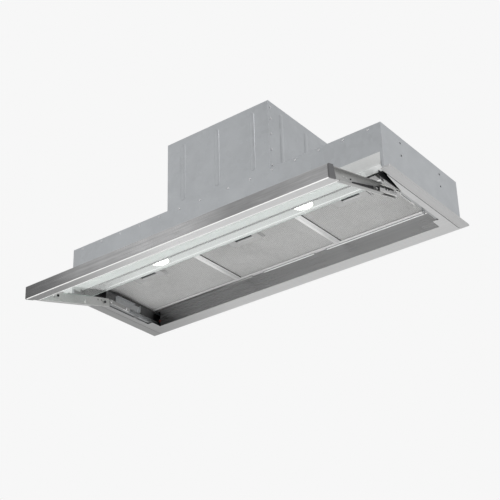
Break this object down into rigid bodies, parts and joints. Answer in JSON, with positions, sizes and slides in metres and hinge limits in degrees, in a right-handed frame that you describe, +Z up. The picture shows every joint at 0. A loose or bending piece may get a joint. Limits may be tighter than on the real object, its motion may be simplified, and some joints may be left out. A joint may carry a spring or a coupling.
{
  "type": "built-in range hood",
  "caption": "Slim built-in range hood with pull-out tilting glass visor, three hinged grease filters, lamps and duct spigot.",
  "frame": {"origin": "on the wall plane (rear face of the cover plate's lip), middle of the width, level with the underside of the cabinet that the hood hangs in", "axes": "+X to the right seen from the front, along the width; +Y towards the wall; +Z up, towards the duct spigot"},
  "size_m": [0.898, 0.4756, 0.4251],
  "materials": {
    "stainless": "brushed stainless steel",
    "panel_steel": "satin silver-grey painted steel",
    "galvanised": "galvanised sheet steel",
    "plated": "zinc-plated steel",
    "filter_alu": "satin aluminium",
    "mesh_alu": "expanded aluminium mesh",
    "glass": "clear float glass, greenish edge",
    "lens": "white diffuser, lit",
    "black_plastic": "moulded black plastic",
    "grey_plastic": "moulded grey plastic",
    "white_plastic": "moulded white plastic",
    "cap_grey": "steel-coloured painted end cap",
    "red_plastic": "red moulded plastic",
    "rubber": "black rubber",
    "board": "circuit board",
    "steel": "bright steel"
  },
  "bodies": {
    "housing": {"cover_plate": "stainless", "side_strips": "stainless", "rear_panel": "galvanised", "side_panel_left": "galvanised", "side_panel_right": "galvanised", "housing_shell": "galvanised", "front_strip": "panel_steel", "strip_seal": "rubber", "lamp_panel": "panel_steel", "lamp_bezels": "stainless", "lamp_lenses": "lens", "lamp_bodies": "filter_alu", "guide_rail_left": "plated", "guide_rail_right": "plated", "rail_brackets": "plated", "visor_switch": "black_plastic", "housing_screws": "steel", "tower_shell": "galvanised", "scroll_housing": "black_plastic", "motor": "grey_plastic", "blower_cradle": "galvanised", "rubber_mounts": "rubber", "duct_collar": "black_plastic", "flap_axle": "steel", "control_box": "black_plastic", "led_driver": "white_plastic", "cable_gland": "black_plastic"},
    "fan": {"impeller": "grey_plastic", "motor_shaft": "steel"},
    "flap_front": {"flap_front": "grey_plastic"},
    "flap_rear": {"flap_rear": "grey_plastic"},
    "switch_button": {"switch_button": "red_plastic"},
    "carriage": {"carriage_left": "plated", "carriage_right": "plated", "carriage_shoes": "white_plastic"},
    "visor": {"visor_bar": "stainless", "end_caps": "cap_grey", "glass_panel": "glass", "glass_clamp": "panel_steel", "glass_brackets": "plated", "arm_left": "plated", "arm_right": "plated", "pivot_pins": "steel", "visor_screws": "steel", "button_bezel": "black_plastic", "control_board": "board"},
    "button_off": {"button_off": "cap_grey"},
    "button_speed_1": {"button_speed_1": "cap_grey"},
    "button_speed_2": {"button_speed_2": "cap_grey"},
    "button_speed_3": {"button_speed_3": "cap_grey"},
    "button_light": {"button_light": "cap_grey"},
    "filter_left": {"filter_frame_left": "filter_alu", "filter_mesh_left": "mesh_alu"},
    "filter_centre": {"filter_frame_centre": "filter_alu", "filter_mesh_centre": "mesh_alu"},
    "filter_right": {"filter_frame_right": "filter_alu", "filter_mesh_right": "mesh_alu"},
    "latch_left": {"latch_left": "filter_alu"},
    "latch_centre": {"latch_centre": "filter_alu"},
    "latch_right": {"latch_right": "filter_alu"}
  },
  "joints": [
    {"name": "visor_slide", "type": "slide", "parent": "housing", "child": "carriage", "axis": [0, -1, 0], "range_m": [-0.14, 0]},
    {"name": "visor_tilt", "type": "hinge", "parent": "carriage", "child": "visor", "pos_m": [0, -0.29914, -0.02852], "axis": [1, 0, 0], "range_deg": [-15.32, 0]},
    {"name": "filter_left_swing", "type": "hinge", "parent": "housing", "child": "filter_left", "pos_m": [-0.4168, -0.131, 0.04235], "axis": [0, 1, 0], "range_deg": [0, 30]},
    {"name": "filter_centre_swing", "type": "hinge", "parent": "housing", "child": "filter_centre", "pos_m": [0, -0.0355, 0.04195], "axis": [1, 0, 0], "range_deg": [0, 45]},
    {"name": "filter_right_swing", "type": "hinge", "parent": "housing", "child": "filter_right", "pos_m": [0.4168, -0.131, 0.04235], "axis": [0, -1, 0], "range_deg": [0, 30]},
    {"name": "fan_spin", "type": "hinge", "parent": "housing", "child": "fan", "pos_m": [0, -0.211, 0.208], "axis": [1, 0, 0], "continuous": true},
    {"name": "flap_front_swing", "type": "hinge", "parent": "housing", "child": "flap_front", "pos_m": [0, -0.157, 0.314], "axis": [-1, 0, 0], "range_deg": [0, 70]},
    {"name": "flap_rear_swing", "type": "hinge", "parent": "housing", "child": "flap_rear", "pos_m": [0, -0.157, 0.314], "axis": [1, 0, 0], "range_deg": [0, 70]},
    {"name": "switch_press", "type": "slide", "parent": "housing", "child": "switch_button", "axis": [0, 1, 0], "range_m": [0, 0.0022], "stiffness_N_per_m": 200},
    {"name": "latch_left_pull", "type": "slide", "parent": "filter_left", "child": "latch_left", "axis": [0, 1, 0], "range_m": [0, 0.005], "stiffness_N_per_m": 300},
    {"name": "latch_centre_pull", "type": "slide", "parent": "filter_centre", "child": "latch_centre", "axis": [0, 1, 0], "range_m": [0, 0.005], "stiffness_N_per_m": 300},
    {"name": "latch_right_pull", "type": "slide", "parent": "filter_right", "child": "latch_right", "axis": [0, 1, 0], "range_m": [0, 0.005], "stiffness_N_per_m": 300},
    {"name": "button_off_press", "type": "slide", "parent": "visor", "child": "button_off", "axis": [0, 0.2639, -0.9646], "range_m": [0, 0.0015], "stiffness_N_per_m": 300},
    {"name": "button_speed_1_press", "type": "slide", "parent": "visor", "child": "button_speed_1", "axis": [0, 0.2639, -0.9646], "range_m": [0, 0.0015], "stiffness_N_per_m": 300},
    {"name": "button_speed_2_press", "type": "slide", "parent": "visor", "child": "button_speed_2", "axis": [0, 0.2639, -0.9646], "range_m": [0, 0.0015], "stiffness_N_per_m": 300},
    {"name": "button_speed_3_press", "type": "slide", "parent": "visor", "child": "button_speed_3", "axis": [0, 0.2639, -0.9646], "range_m": [0, 0.0015], "stiffness_N_per_m": 300},
    {"name": "button_light_press", "type": "slide", "parent": "visor", "child": "button_light", "axis": [0, 0.2639, -0.9646], "range_m": [0, 0.0015], "stiffness_N_per_m": 300}
  ],
  "couplings": [
    {"joint": "visor_tilt", "follows": "visor_slide", "rad_per_m": 1.9074}
  ]
}
